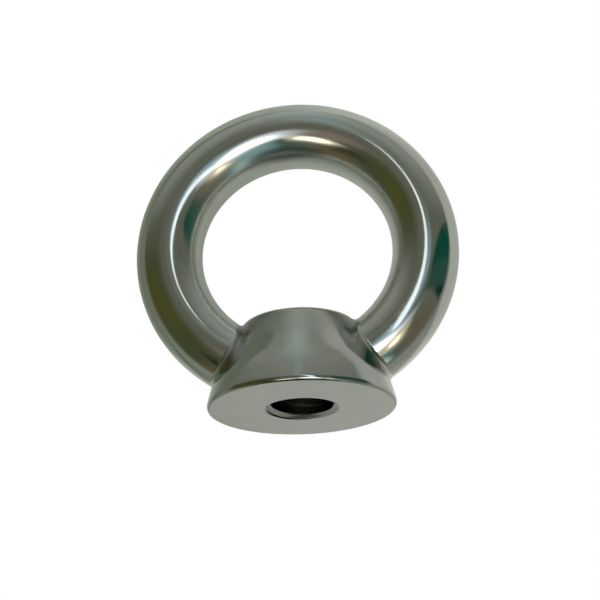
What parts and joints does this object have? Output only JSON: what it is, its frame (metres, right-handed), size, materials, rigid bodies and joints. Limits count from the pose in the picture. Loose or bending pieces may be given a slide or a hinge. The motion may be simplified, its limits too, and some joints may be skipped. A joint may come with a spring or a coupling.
{
  "type": "lifting eye nut",
  "caption": "Round lifting ring on a conical boss with a tapped through hole; screws onto a stud to give a hoisting point for a hook or shackle.",
  "frame": {"origin": "centre of the base face, on the axis of the tapped hole", "axes": "+Z along the tapped hole, from the base face up to the ring; +X across the ring, in its plane; +Y along the ring's hole"},
  "size_m": [0.045, 0.0254, 0.0453],
  "materials": {
    "polished_steel": "polished stainless steel, with a satin ground base face"
  },
  "bodies": {
    "root": {"eye_nut": "polished_steel"}
  },
  "joints": []
}
